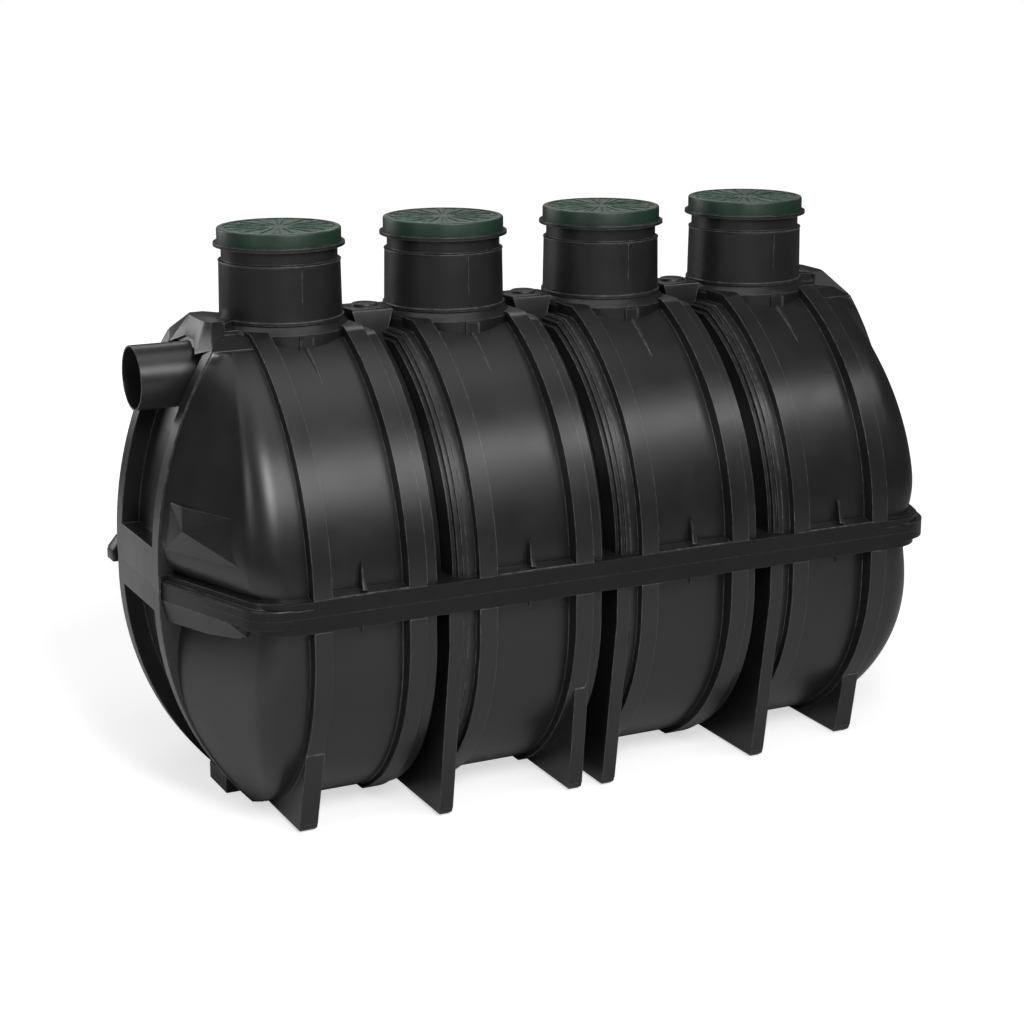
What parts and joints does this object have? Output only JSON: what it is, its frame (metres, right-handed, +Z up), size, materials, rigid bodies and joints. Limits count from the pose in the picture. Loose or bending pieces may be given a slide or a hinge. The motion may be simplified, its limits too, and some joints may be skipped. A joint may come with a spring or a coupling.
{
  "type": "septic_tank",
  "caption": "Horizontal ribbed black polyethylene septic tank in two halves joined at a belt, with manhole necks, green lids, pipe stubs and saddle feet",
  "frame": {"origin": "on the floor, under the middle of the tank", "axes": "+X along the tank from the inlet end to the outlet end, +Y across it, +Z up"},
  "size_m": [2.836, 1.408, 1.906],
  "materials": {
    "black_polyethylene": "satin, faintly grained from the mould",
    "green_polyethylene": "satin dark green"
  },
  "bodies": {
    "root": {"upper_bay_1": "black_polyethylene", "upper_bay_2": "black_polyethylene", "upper_bay_3": "black_polyethylene", "upper_bay_4": "black_polyethylene", "upper_valley_1": "black_polyethylene", "upper_valley_2": "black_polyethylene", "upper_valley_3": "black_polyethylene", "lower_bay_1": "black_polyethylene", "lower_bay_2": "black_polyethylene", "lower_bay_3": "black_polyethylene", "lower_bay_4": "black_polyethylene", "lower_valley_1": "black_polyethylene", "lower_valley_2": "black_polyethylene", "lower_valley_3": "black_polyethylene", "upper_flange": "black_polyethylene", "lower_flange": "black_polyethylene", "inlet_frame_upper": "black_polyethylene", "outlet_frame_upper": "black_polyethylene", "inlet_frame_lower": "black_polyethylene", "outlet_frame_lower": "black_polyethylene", "inlet_dome_upper": "black_polyethylene", "outlet_dome_upper": "black_polyethylene", "inlet_dome_lower": "black_polyethylene", "outlet_dome_lower": "black_polyethylene", "bridge_1": "black_polyethylene", "bridge_2": "black_polyethylene", "bridge_3": "black_polyethylene", "neck_1": "black_polyethylene", "neck_2": "black_polyethylene", "neck_3": "black_polyethylene", "neck_4": "black_polyethylene", "lid_1": "green_polyethylene", "lid_2": "green_polyethylene", "lid_3": "green_polyethylene", "lid_4": "green_polyethylene", "inlet_pipe": "black_polyethylene", "outlet_pipe": "black_polyethylene", "saddle_1": "black_polyethylene", "saddle_2": "black_polyethylene", "saddle_3": "black_polyethylene", "saddle_4": "black_polyethylene", "saddle_5": "black_polyethylene", "saddle_6": "black_polyethylene"}
  },
  "joints": []
}
